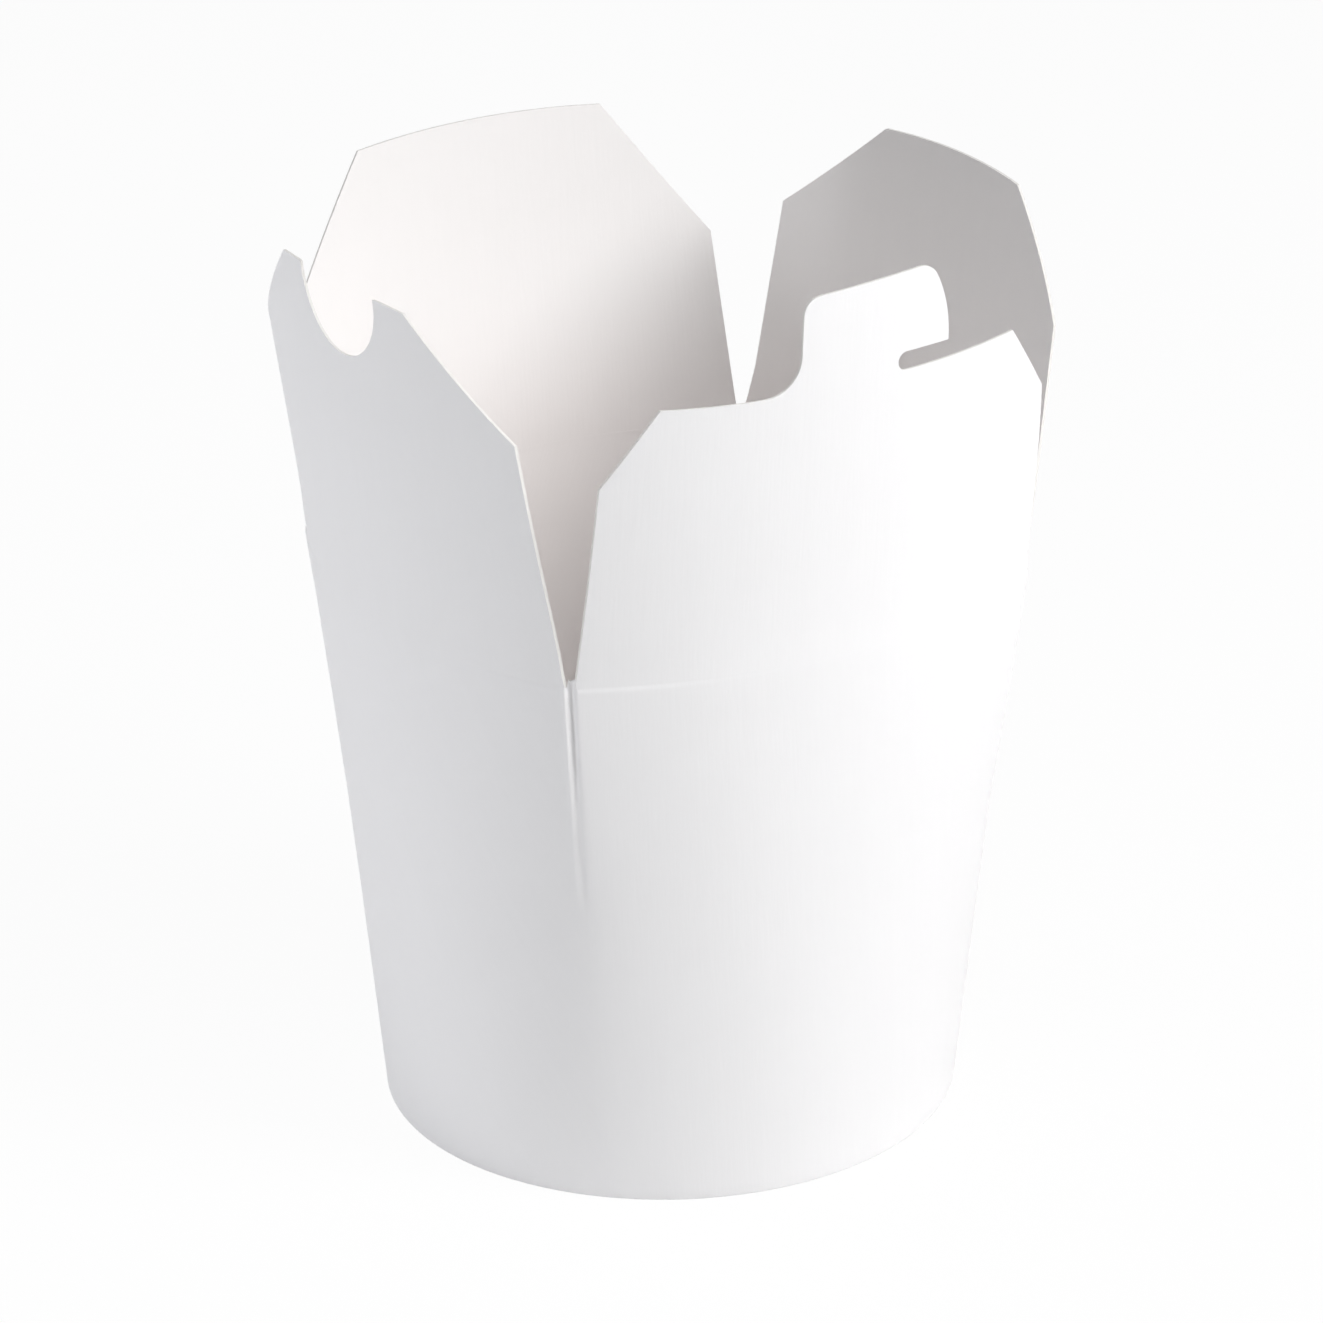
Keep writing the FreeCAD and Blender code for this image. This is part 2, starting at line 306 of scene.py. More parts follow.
    def flap(self, u: Array, v: Array, inset: Array, lean: float, sense: int) -> Array:
        """Points of a flap on the front side.

        Formula: the section at the crease is the rim's arc, and the one at the
        flap's reach is a flatter arc carried outwards by the lean. Between them
        the section is their weighted mean, and v up the flap rises by v times
        the lean's cosine. The fold is soft: the lean starts small at the crease,
        by an exponential term that a straight one evens out at the top. The
        foot stands in with the wall's corner, which fades away up the flap.

        Args:
            u: distance along the crease's chord from its middle.
            v: distance up the flap from the crease.
            inset: distance inwards from the outer surface.
            lean: outward lean in radians.
            sense: 1 on a left or right flap and -1 on a front or rear one.

        Returns:
            x, y and z of each point.
        """
        low_radius, low_centre = self.arc(self.half_chord, self.crease_rise)
        from_corner = (self.half_chord - np.abs(u)) * low_radius / (low_radius - self.crease_rise)
        corner = self.corner_press(sense * from_corner, self.crease_height + 0 * u)
        inset = inset + self.crease_press(v, from_corner) + corner * np.exp(-v / self.corner_follow)
        high_radius, high_centre = self.arc(self.half_chord, self.flap_reach_rise)
        low = low_centre + np.sqrt((low_radius - inset) ** 2 - u ** 2)
        high = high_centre + np.sqrt((high_radius - inset) ** 2 - u ** 2)
        high = high + self.flap_reach * math.sin(lean)
        share = v / self.flap_reach
        out = (1 - share) * low + share * high
        soft = 1 - np.exp(-v / self.fold_length) - np.minimum(v / self.flap_length, 1)
        out = out - self.fold_ease * soft
        return joined(u, -out, self.crease_height + v * math.cos(lean))


@dataclass
class MeshParts:
    """What goes into one mesh: points in millimetres, faces and each face's finish."""

    points: Array
    faces: list
    surface_uv: Array
    finish: Array

    def to_object(self, name: str) -> bpy.types.Object:
        """Makes the Blender object, in metres, smooth apart from its cut edges.

        Args:
            name: the object's name.

        Returns:
            The object, linked to the scene.
        """
        mesh = bpy.data.meshes.new(name)
        mesh.from_pydata((self.points * MM).tolist(), [], self.faces)
        mesh.update()
        layer = mesh.uv_layers.new(name="BoardUV")
        corner_points = np.empty(len(mesh.loops), dtype=np.int32)
        mesh.loops.foreach_get("vertex_index", corner_points)
        places = (self.surface_uv[corner_points] * MM).astype(np.float32)
        layer.uv.foreach_set("vector", places.ravel())
        mesh.polygons.foreach_set("material_index", self.finish.astype(np.int32))
        mesh.shade_smooth()
        mesh.set_sharp_from_angle(angle=SHARP_ANGLE)
        return add_object(name, mesh)


def grid_faces(rows: int, columns: int, close_rows: bool, close_columns: bool) -> Array:
    """Quads between neighbouring rows and columns of a grid of points.

    Args:
        rows: number of rows.
        columns: number of columns.
        close_rows: whether the last row joins the first.
        close_columns: whether the last column joins the first.

    Returns:
        One row of four point numbers for each quad.
    """
    row = np.arange(rows if close_rows else rows - 1)[:, None]
    column = np.arange(columns if close_columns else columns - 1)[None, :]
    next_row, next_column = (row + 1) % rows, (column + 1) % columns
    quads = joined(
        row * columns + column,
        row * columns + next_column,
        next_row * columns + next_column,
        next_row * columns + column,
    )
    return quads.reshape(-1, 4)


@dataclass(frozen=True)
class Columns:
    """Where the wall's columns stand: close together by the corners, even in between.

    A column stands at share plus offset over the side's half length, so the ones
    by a corner keep their distance from it all the way up.
    """

    near_corner: tuple = (
        0, 0.12, 0.26, 0.4, 0.54, 0.68, 0.82, 0.96, 1.1, 1.23, 1.36, 1.4, 1.44, 1.55, 1.68,
        1.81, 1.94, 2.07, 2.2, 2.35, 2.55, 2.85, 3.3, 4.5, 6, 8, 10.36, 10.4, 10.44, 11,
    )
    last: float = 12.5
    middle: int = 36

    def places(self) -> tuple[Array, Array]:
        """The share and offset of each column of one side, left corner first.

        Returns:
            Two arrays. The right corner is left out, because the next side starts there.
        """
        near = np.array(self.near_corner)
        inner = np.linspace(-1, 1, self.middle)
        share = np.concatenate([-np.ones_like(near), inner, np.ones(len(near) - 1)])
        offset = np.concatenate([near, -inner * self.last, -near[:0:-1]])
        return share, offset


@dataclass
class Wall:
    """The folded side wall with its hem, its corner scores and the lap of its seam."""

    form: CartonForm
    columns: Columns = Columns()
    hem_height: float = 6.0
    fold_radius: float = 0.4
    fold_steps: int = 5
    seam_width: float = 9.0
    seam_margin: float = 1.4
    web_blend: float = 1.2
    rows: int = 44
    rim_rows: tuple = (0.1, 0.2, 0.3, 0.42, 0.56, 0.75, 1.1, 1.8)

    def profile(self) -> Array:
        """The board's section from the foot up, over the rim, down the inside and round the hem.

        Returns:
            One row for each point: its inset and its height. The last joins the first.
        """
        form, board = self.form, self.form.board
        rim, fold = form.crease_height, self.fold_radius
        inner_ply = 2 * board + 2 * form.ply_gap
        hem_inside = 3 * board + 2 * form.ply_gap
        turn = np.linspace(0, math.pi / 2, self.fold_steps)
        outer_fold = joined(fold - fold * np.sin(turn), fold - fold * np.cos(turn))
        near_rim = rim - np.array(self.rim_rows)[::-1]
        rise = np.linspace(fold, near_rim[0], self.rows)[1:-1]
        up = np.concatenate([rise, near_rim, [rim]])
        down = np.concatenate([[rim], near_rim[::-1], rise[::-1][:-2]])
        outside = joined(0.0, up)
        inside = joined(board, down)
        hem = np.array([
            [board, board], [inner_ply, board], [inner_ply, self.hem_height],
            [hem_inside, self.hem_height], [hem_inside, fold],
        ])
        inner_fold = joined(hem_inside - outer_fold[:, 0], outer_fold[:, 1])[::-1]
        return np.concatenate([outer_fold, outside, inside, hem, inner_fold[1:]])

    def surface(self, side: Side, share: Array, offset: Array) -> tuple[Array, Array]:
        """The wall's points on one side, and where they lie on the flat board.

        Formula: each profile point is carried along the side's columns. Its
        inset grows by the corner's score and the crease's, and shrinks by a
        board's thickness over the seam's lap, on the outer face alone. The
        rows next to the rim are stretched up into the corner's web.

        Args:
            side: which side.
            share: the columns' shares.
            offset: the columns' offsets in millimetres.

        Returns:
            The points, and their places on the board.
        """
        form = self.form
        inset, height = (part[:, None] for part in self.profile().T)
        half = form.wall_half_length(height)
        across = share[None, :] + offset[None, :] / half
        corner_distance = half * (1 - np.abs(across))
        signed = corner_distance * side.sense
        near_rim = ease((height - form.crease_height + self.web_blend) / self.web_blend)
        height = height + near_rim * form.web_rise(signed)
        press = form.corner_press(signed, np.minimum(height, form.crease_height))
        press = press + form.crease_press(height - form.crease_height, corner_distance)
        is_single_ply = inset < 1.5 * form.board
        pressed = inset + press * is_single_ply
        if side is Side.REAR:
            from_corner = half * (1 + across)
            seam_end = self.seam_margin + self.seam_width
            lap = (from_corner > self.seam_margin) & (from_corner < seam_end)
            pressed = pressed - form.board * (lap & (inset < form.board / 2))
        points = form.wall(across, height, pressed)
        along = half * (across + 2 * side.value + 1)
        return side.turn(points), joined(along, height)

    def build(self) -> bpy.types.Object:
        """Makes the wall's object.

        Returns:
            The object, which stands for the CAD wall.
        """
        share, offset = self.columns.places()
        strips = [self.surface(side, share, offset) for side in Side]
        points = np.concatenate([strip[0] for strip in strips], axis=1)
        places = np.concatenate([strip[1] for strip in strips], axis=1)
        rows, columns = points.shape[:2]
        faces = grid_faces(rows, columns, close_rows=True, close_columns=True)[:, ::-1]
        inset = self.profile()[:, 0]
        is_inner = (inset + np.roll(inset, -1)) / 2 > self.form.board / 2
        finish = np.repeat(np.where(is_inner, Face.INSIDE.value, Face.OUTSIDE.value), columns)
        parts = MeshParts(points.reshape(-1, 3), faces.tolist(), places.reshape(-1, 2), finish)
        return parts.to_object("box_wall")


@dataclass
class BaseDisc:
    """The recessed base: a disc with its flange turned down into the hem."""

    form: CartonForm
    recess: float = 8.0
    bend_radius: float = 0.6
    bend_steps: int = 5
    columns_per_side: int = 40
    rings: int = 14
    dish: float = 0.35

    def section(self) -> Array:
        """The disc's closed section: up the flange, round the bend, in over the top and back.

        Returns:
            One row for each point: its inset, its height and its share of the way out.
        """
        board = self.form.board
        outer, inner = board + self.form.ply_gap, 2 * board + self.form.ply_gap
        turn = np.linspace(0, math.pi / 2, self.bend_steps)
        bend = self.bend_radius
        under = bend - board
        shares = np.linspace(1, 0, self.rings)[1:-1]
        flange_up = np.array([[outer, board, 1.0], [outer, self.recess / 2, 1.0]])
        over = joined(
            outer + bend * (1 - np.cos(turn)), self.recess - bend * (1 - np.sin(turn)), 1.0,
        )
        top = joined(over[-1, 0], self.recess, shares)
        below = top[::-1] - np.array([0, board, 0])
        back = joined(
            inner + under * (1 - np.cos(turn)),
            self.recess - board - under * (1 - np.sin(turn)),
            1.0,
        )[::-1]
        flange_down = np.array([[inner, self.recess / 2, 1.0], [inner, board, 1.0]])
        return np.concatenate([flange_up, over, top, below, back, flange_down])

    def build(self) -> bpy.types.Object:
        """Makes the base disc's object.

        Formula: a ring nearer the middle is the bend's own ring times a share, and
        the disc sinks by a cosine bell towards its middle.

        Returns:
            The object, which stands for the CAD base disc.
        """
        form = self.form
        inset, height, share = (part[:, None] for part in self.section().T)
        across = np.linspace(-1, 1, self.columns_per_side + 1)[:-1][None, :]
        sides = [side.turn(form.wall(across, height, inset)) for side in Side]
        points = np.concatenate(sides, axis=1)
        sink = self.dish * (1 + np.cos(math.pi * share)) / 2 * (share < 1)
        points = joined(points[..., 0] * share, points[..., 1] * share, points[..., 2] - sink)
        rows, columns = points.shape[:2]
        faces = grid_faces(rows, columns, close_rows=True, close_columns=True)[:, ::-1]
        # The strip between the innermost rings would be a tube: two fans close them instead.
        tube_row = self.bend_steps + self.rings - 1
        keep = np.ones(rows * columns, dtype=bool)
        keep[tube_row * columns:(tube_row + 1) * columns] = False
        middle_height = self.recess - self.dish
        middle = [[0, 0, middle_height], [0, 0, self.recess - form.board - self.dish]]
        top_middle = rows * columns
        ring = np.arange(columns)
        following = (ring + 1) % columns
        top_ring, low_ring = tube_row * columns, (tube_row + 1) * columns
        top_fan = joined(top_ring + ring, top_ring + following, top_middle)
        low_fan = joined(low_ring + following, low_ring + ring, top_middle + 1)
        flat = np.concatenate([points.reshape(-1, 3), middle])
        all_faces = faces[keep].tolist() + top_fan.tolist() + low_fan.tolist()
        finish = np.full(len(all_faces), Face.OUTSIDE.value)
        return MeshParts(flat, all_faces, flat[:, :2] + flat[:, 2:], finish).to_object("box_base")


def arc_points(centre: tuple, radius: float, start: float, end: float, steps: int = 8) -> Array:
    """Points of an arc: the centre plus the radius at evenly spaced angles.

    Args:
        centre: x and y of the centre.
        radius: the arc's radius.
        start: first angle in degrees.
        end: last angle in degrees.
        steps: number of points.

    Returns:
        One x and y for each point.
    """
    angle = np.radians(np.linspace(start, end, steps))
    return joined(centre[0] + radius * np.cos(angle), centre[1] + radius * np.sin(angle))


def spaced(corners: Array, spacing: float) -> Array:
    """A closed outline with points added so that none lie further apart than spacing.

    Args:
        corners: the outline's points.
        spacing: the largest step.

    Returns:
        The outline with the added points.
    """
    following = np.roll(corners, -1, axis=0)
    lengths = np.linalg.norm(following - corners, axis=1)
    counts = np.maximum(np.ceil(lengths / spacing).astype(int), 1)
    start = np.repeat(np.arange(len(corners)), counts)
    step = np.concatenate([np.arange(count) / count for count in counts])[:, None]
    return corners[start] * (1 - step) + following[start] * step


def outline_distance(points: Array, outline: Array) -> Array:
    """The distance from each point to the nearest stretch of a closed outline.

    Args:
        points: one u and v for each point.
        outline: the outline's points.

    Returns:
        One distance for each point.
    """
    step = np.roll(outline, -1, axis=0) - outline
    reach = points[:, None, :] - outline[None, :, :]
    share = np.clip((reach * step).sum(-1) / (step * step).sum(-1), 0, 1)
    return np.linalg.norm(reach - share[..., None] * step, axis=-1).min(axis=1)


def is_inside(points: Array, outline: Array) -> Array:
    """Whether each point lies inside a closed outline: an odd count of crossings to its right.

    Args:
        points: one u and v for each point.
        outline: the outline's points.

    Returns:
        One truth for each point.
    """
    x, y = points[:, 0, None], points[:, 1, None]
    x0, y0 = outline[:, 0], outline[:, 1]
    x1, y1 = np.roll(x0, -1), np.roll(y0, -1)
    spans = (y0 > y) != (y1 > y)
    rise = np.where(y1 == y0, 1.0, y1 - y0)
    return (spans & (x < x0 + (y - y0) / rise * (x1 - x0))).sum(axis=1) % 2 == 1


@dataclass
class FlapSheet:
    """One closing flap: its side, its lean and the sizes that all outlines share."""

    form: CartonForm
    name: str
    side: Side
    lean: float
    root_half: float = 41.5
    shoulder_half: float = 39.2
    shoulder_height: float = 40.6
    top_half: float = 19.0
    top_height: float = 57.5
    top_bow: float = 0.6
    edge_hollow: float = 0.3
    aside: float = 0.0
    aside_length: float = 12.0
    side_points: int = 16
    top_points: int = 24
    grid_step: float = 1.25
    edge_step: float = 0.8
    root_rows: tuple = (
        0.12, 0.24, 0.36, 0.5, 0.7, 1.0, 1.4, 1.9, 2.5, 3.2, 4.0, 4.9, 5.9, 6.9,
    )
    first_row_gap: float = 1.1
    edge_clearance: float = 0.42

    def side_edge(self, shoulder: float, hollow: float) -> Array:
        """The right side edge from the crease's end to the shoulder.

        Formula: a straight line from the root, drawn in by a parabola.

        Args:
            shoulder: the shoulder's distance from the flap's middle.
            hollow: how far the edge is drawn in halfway up.

        Returns:
            One u and v for each point.
        """
        share = np.linspace(0, 1, self.side_points)
        straight = self.root_half + (shoulder - self.root_half) * share
        u = straight - 4 * hollow * share * (1 - share)
        return joined(u, self.shoulder_height * share)

    def top_edge(self) -> Array:
        """The top edge, right to left: a parabola that rises by the bow in the middle.

        Returns:
            One u and v for each point.
        """
        share = np.linspace(1, -1, self.top_points)
        rise = self.top_bow * (1 - share ** 2)
        return joined(self.top_half * share, self.top_height + rise)

    def outline(self) -> Array:
        """The flap's outline on the flat, anticlockwise from the crease's right end.

        Returns:
            One u and v for each point.
        """
        right = self.side_edge(self.shoulder_half, self.edge_hollow)
        left = right[::-1] * np.array([-1, 1])
        points = np.concatenate([right, self.top_edge(), left])
        points[:, 0] += self.aside * ease(points[:, 1] / self.aside_length)
        return points

    def inner_points(self, outline: Array) -> Array:
        """Grid points inside the outline, in rows that lie close together by the crease.

        Args:
            outline: the flap's outline.

        Returns:
            One u and v for each point that is clear of the outline.
        """
        first = self.root_rows[-1] + self.first_row_gap
        even_rows = np.arange(first, outline[:, 1].max(), self.grid_step)
        rows = np.concatenate([self.root_rows, even_rows])
        count = int(2 * self.root_half / self.grid_step)
        u, v = np.meshgrid(np.linspace(-self.root_half, self.root_half, count), rows)
        u = u + (np.arange(len(rows)) % 2)[:, None] * self.grid_step / 2
        points = joined(u.ravel(), v.ravel())
        points = points[is_inside(points, outline)]
        near_root = points[:, 1] < self.root_rows[-1]
        sides = outline[outline[:, 1] > 0]
        margin = np.where(near_root, self.edge_clearance / 2, self.edge_clearance)
        closest = np.linalg.norm(points[:, None] - sides[None], axis=-1).min(axis=1)
        clear = np.minimum(outline_distance(points, outline) + (near_root * 1.0), closest) > margin
        return points[clear]

    def net(self) -> tuple[Array, Array]:
        """Joins the outline and the inner points into triangles on the flat.

        Returns:
            The points, and the triangles, anticlockwise.
        """
        outline = spaced(self.outline(), self.edge_step)
        flat = np.concatenate([outline, self.inner_points(outline)])
        rim = len(outline)
        net = geometry.delaunay_2d_cdt(flat.tolist(), [], [list(range(rim))], 1, NET_TOLERANCE)
        flat = np.array([tuple(point) for point in net[0]])
        triangles = np.array([face for face in net[2] if len(face) == 3])
        used = np.unique(triangles)
        number = np.full(len(flat), -1)
        number[used] = np.arange(len(used))
        flat, triangles = flat[used], number[triangles]
        first, second, third = (flat[triangles[:, corner]] for corner in range(3))
        is_clockwise = np.cross(second - first, third - first) < 0
        triangles[is_clockwise] = triangles[is_clockwise][:, ::-1]
        return flat, triangles

    def build(self) -> bpy.types.Object:
        """Makes the flap's object: a face, a back and the cut edge between them.

        Both faces are the flat net, put on the flap's surface at insets of nothing
        and of the board's thickness. The cut edge joins them where an edge of the
        net has only one triangle.

        Returns:
            The object, which stands for the CAD flap.
        """
        flat, triangles = self.net()
        u, v = flat[:, 0], flat[:, 1]
        face = self.form.flap(u, v, 0.0 * u, self.lean, self.side.sense)
        back = self.form.flap(u, v, self.form.board + 0.0 * u, self.lean, self.side.sense)
        count = len(flat)
        edges = np.concatenate([triangles[:, [0, 1]], triangles[:, [1, 2]], triangles[:, [2, 0]]])
        key = np.sort(edges, axis=1)
        _, first, uses = np.unique(key, axis=0, return_index=True, return_counts=True)
        border = edges[first[uses == 1]]
        start, end = border.T
        walls = joined(end, start, start + count, end + count)
        faces = triangles.tolist() + (triangles[:, ::-1] + count).tolist()
        counts = [len(triangles), len(triangles), len(walls)]
        finish = np.repeat([kind.value for kind in Face], counts)
        points = self.side.turn(np.concatenate([face, back]))
        half = self.form.wall_half_length(self.form.crease_height)
        place = joined(u + half * (2 * self.side.value + 1), v + self.form.crease_height)
        parts = MeshParts(points, faces + walls.tolist(), np.concatenate([place, place]), finish)
        return parts.to_object(self.name)


@dataclass
class NotchFlap(FlapSheet):
    """The left flap, whose top edge has a round notch."""

    notch_radius: float = 11.5
    notch_drop: float = 0.4
    notch_offset: float = 0.2
    notch_points: int = 40
    lip_share: float = 0.7
    lip_gap: float = 0.3

    def top_edge(self) -> Array:
        """The top edge, right to left, with the notch's arc cut out of it.

        Returns:
            One u and v for each point.
        """
        edge = super().top_edge()
        centre = (-self.notch_offset, self.top_height - self.notch_drop)
        rise = self.top_bow + self.notch_drop
        lip = math.degrees(math.asin(rise / self.notch_radius)) * self.lip_share
        arc = arc_points(centre, self.notch_radius, lip, -180 - lip, self.notch_points)
        right = edge[edge[:, 0] > arc[0, 0] + self.lip_gap]
        left = edge[edge[:, 0] < arc[-1, 0] - self.lip_gap]
        return np.concatenate([right, arc, left])


@dataclass
class HookFlap(FlapSheet):
    """The front flap, whose tongue ends in a hook over a round-ended slit."""

    tongue_left: float = 9.9
    tongue_height: float = 61.5
    hook_height: float = 62.6
    hook_right: float = 17.7
    slit_end: float = 9.3
    slit_width: float = 3.1
    tongue_root_radius: float = 6.0
    tongue_corner_radius: float = 2.9
    hook_radius: float = 4.0
    hook_side_radius: float = 23.5
    top_hollow: float = 0.65
    shoulder_shift: float = 0.5
    right_bulge: float = 0.75

    def outline(self) -> Array:
        """The outline, whose right edge bulges while its left one is a little hollow.

        Returns:
            One u and v for each point.
        """
        right = self.side_edge(self.shoulder_half + self.shoulder_shift, -self.right_bulge)
        left = self.side_edge(self.shoulder_half - self.shoulder_shift, self.edge_hollow)
        return np.concatenate([right, self.top_edge(), left[::-1] * np.array([-1, 1])])

    def hollow_edge(self, inner: float, sign: int) -> Array:
        """A stretch of the top edge from its corner inwards: a parabola that is flat at inner.

        Args:
            inner: the stretch's inner end.
            sign: 1 on the right and -1 on the left.

        Returns:
            One u and v for each point.
        """
        share = np.linspace(1, 0, 10)
        u = sign * (inner + (self.top_half - inner) * share)
        return joined(u, self.top_height + self.top_hollow * share ** 2)

    def hook(self) -> Array:
        """The hook from its foot up: a wide arc for its side, and a small one that touches it.

        Formula: the wide arc's centre is level with the hook's foot. The small
        arc's centre is as far from it as the two radii differ, at the height
        where it touches the top.

        Returns:
            One u and v for each point.
        """
        foot = self.top_height + self.slit_width
        wide, small = self.hook_side_radius, self.hook_radius
        centre = self.hook_right - wide
        rise = self.hook_height - small - foot
        across = math.sqrt((wide - small) ** 2 - rise ** 2)
        touch = math.degrees(math.atan2(rise, across))
        return np.concatenate([
            arc_points((centre, foot), wide, 0, touch, 10)[:-1],
            arc_points((centre + across, foot + rise), small, touch, 90, 10),
        ])

    def top_edge(self) -> Array:
        """The top edge, right to left: the slit's lower side, the hook, the tongue and its root.

        Returns:
            One u and v for each point.
        """
        top, slit = self.top_height, self.slit_width / 2
        root, corner = self.tongue_root_radius, self.tongue_corner_radius
        return np.concatenate([
            self.hollow_edge(self.slit_end, 1)[:-1],
            arc_points((self.slit_end, top + slit), slit, -90, -270, 12),
            self.hook(),
            arc_points(
                (corner - self.tongue_left, self.tongue_height - corner), corner, 90, 180, 9,
            ),
            arc_points((-self.tongue_left - root, top + root), root, 0, -90, 12)[:-1],
            self.hollow_edge(self.tongue_left + root, -1)[::-1],
        ])


class Socket:
    """A node's output, with operators that add Math nodes."""

    def __init__(self, graph: "Graph", output: Any) -> None:
        """Wraps one output of one graph."""
        self.graph = graph
        self.output = output

    def _math(self, operation: str, first: Value, second: Value) -> "Socket":
        """Adds one Math node."""
        return self.graph.node("ShaderNodeMath", {"operation": operation}, {0: first, 1: second})

    def __add__(self, other: Value) -> "Socket":
        """self + other."""
        return self._math("ADD", self, other)

    def __radd__(self, other: Value) -> "Socket":
        """other + self."""
        return self._math("ADD", other, self)

    def __sub__(self, other: Value) -> "Socket":
        """self - other."""
        return self._math("SUBTRACT", self, other)

    def __rsub__(self, other: Value) -> "Socket":
        """other - self."""
        return self._math("SUBTRACT", other, self)

    def __mul__(self, other: Value) -> "Socket":
        """self * other."""
        return self._math("MULTIPLY", self, other)

    def __rmul__(self, other: Value) -> "Socket":
        """other * self."""
        return self._math("MULTIPLY", other, self)


class Graph:
    """A material's node tree, to which nodes are added by type, settings and inputs."""

    def __init__(self, material: bpy.types.Material) -> None:
        """Empties the material's tree."""
        material.use_nodes = True
        self.tree = material.node_tree
        self.tree.nodes.clear()

    def node(self, kind: str, settings: dict, inputs: dict, output: Union[int, str] = 0) -> Socket:
        """Adds a node.

        Args:
            kind: the node's type.
            settings: its properties, such as a Math node's operation, set first.
            inputs: values or sockets, by the input's name or number.
            output: the name or number of the output to hand back.

        Returns:
            That output.
        """
        item = self.tree.nodes.new(kind)
        for name, value in settings.items():
            setattr(item, name, value)
        for name, value in inputs.items():
            if isinstance(value, Socket):
                self.tree.links.new(value.output, item.inputs[name])
            else:
                item.inputs[name].default_value = value
        return Socket(self, item.outputs[output] if len(item.outputs) else None)

    def shown_white(self) -> Socket:
        """1 on a ray from the camera, a gloss or a clear surface, and 0 on one that lights.

        Returns:
            The largest of the light path's three values.
        """
        names = ("Is Camera Ray", "Is Glossy Ray", "Is Transmission Ray")
        camera, glossy, passed = (self.node("ShaderNodeLightPath", {}, {}, name) for name in names)
        return self._larger(self._larger(camera, glossy), passed)

    def _larger(self, first: Socket, second: Socket) -> Socket:
        """The larger of two values."""
        return self.node("ShaderNodeMath", {"operation": "MAXIMUM"}, {0: first, 1: second})

    def noise(self, vector: Socket, scale: float, detail: float, roughness: float = 0.5) -> Socket:
        """A noise pattern's value, from 0 to 1."""
        settings = {"noise_dimensions": "3D"}
        inputs = {"Vector": vector, "Scale": scale, "Detail": detail, "Roughness": roughness}
        return self.node("ShaderNodeTexNoise", settings, inputs)

    def stretched(self, vector: Socket, scale: tuple) -> Socket:
        """A vector with each part times its own scale."""
        return self.node("ShaderNodeMapping", {}, {"Vector": vector, "Scale": scale})

    def mix(self, factor: Value, first: Value, second: Value) -> Socket:
        """A colour between two others."""
        settings = {"data_type": "RGBA"}
        return self.node("ShaderNodeMix", settings, {0: factor, 6: first, 7: second}, output=2)


@dataclass(frozen=True)
class BoardFinish:
    """White coated food board: tone, mottle, machine grain and a faint sheen, and, where a low
    colour is given, painted shade low in the box.
    """

    name: str
    colour: tuple
    shade: tuple
    roughness: float = 0.56
    specular: float = 0.3
    coat: float = 0.03
    coat_roughness: float = 0.35
    grain_depth: float = 0.00004
    fibre_scale: tuple = (1500.0, 110.0, 1.0)
    grain_scale: tuple = (420.0, 14.0, 1.0)
    cloud_scale: float = 55.0
    speck_scale: float = 900.0
    # Painted shade low in the box: its darker, warmer colour, its share and the heights over which
    # it fades out.
    painted_shade_colour: Optional[tuple] = None
    painted_shade_share: float = 0.8
    low_end: float = 0.092
    high_start: float = 0.128

    def painted_low_shade(self, graph: Graph, colour: Socket) -> Socket:
        """Painted shade: the colour drawn darker and warmer towards the low colour below the flaps,
        eased out up to their middle.

        Args:
            graph: the material's nodes.
            colour: the board's colour with its mottle.

        Returns:
            The colour to use.
        """
        place = graph.node("ShaderNodeTexCoord", {}, {}, "Object")
        height = graph.node("ShaderNodeSeparateXYZ", {}, {"Vector": place}, "Z")
        share = graph.node("ShaderNodeMapRange", {"interpolation_type": "SMOOTHSTEP"}, {
            "Value": height, "From Min": self.low_end, "From Max": self.high_start,
            "To Min": self.painted_shade_share, "To Max": 0.0,
        })
        return graph.mix(share, colour, (*self.painted_shade_colour, 1))

    def material(self) -> bpy.types.Material:
        """Makes the material.

        Formula: fine fibres are noise stretched along the board's height, and
        cloudy mottle is two sizes of plain noise. Together they draw the colour
        from its full tone towards its shade, vary the roughness, and raise a
        bump of hundredths of a millimetre.

        Returns:
            The material.
        """
        material = bpy.data.materials.new(self.name)
        graph = Graph(material)
        place = graph.node("ShaderNodeUVMap", {"uv_map": "BoardUV"}, {})
        fibre = graph.noise(graph.stretched(place, self.fibre_scale), 1.0, 3.0, 0.6)
        grain = graph.noise(graph.stretched(place, self.grain_scale), 1.0, 2.0)
        cloud = graph.noise(place, self.cloud_scale, 3.0)
        speck = graph.noise(place, self.speck_scale, 2.0, 0.7)
        tone = fibre * 0.3 + grain * 0.3 + cloud * 0.3 + speck * 0.1
        clamped = graph.node("ShaderNodeClamp", {}, {"Value": tone})
        colour = graph.mix(clamped, (*self.shade, 1), (*self.colour, 1))
        # Painted shade: the inside is painted darker and warmer low in the box, where its own shade
        # falls.
        if self.painted_shade_colour:
            colour = self.painted_low_shade(graph, colour)
        rough = self.roughness - 0.05 + fibre * 0.06 + cloud * 0.05
        relief = fibre * 0.45 + grain * 0.35 + speck * 0.2
        bump = graph.node("ShaderNodeBump", {}, {
            "Strength": 1.0, "Distance": self.grain_depth, "Height": relief,
        })
        shader = graph.node("ShaderNodeBsdfPrincipled", {}, {
            "Base Color": colour, "Roughness": rough, "Normal": bump,
            "Specular IOR Level": self.specular, "Coat Weight": self.coat,
            "Coat Roughness": self.coat_roughness,
        })
        graph.node("ShaderNodeOutputMaterial", {}, {"Surface": shader})
        return material


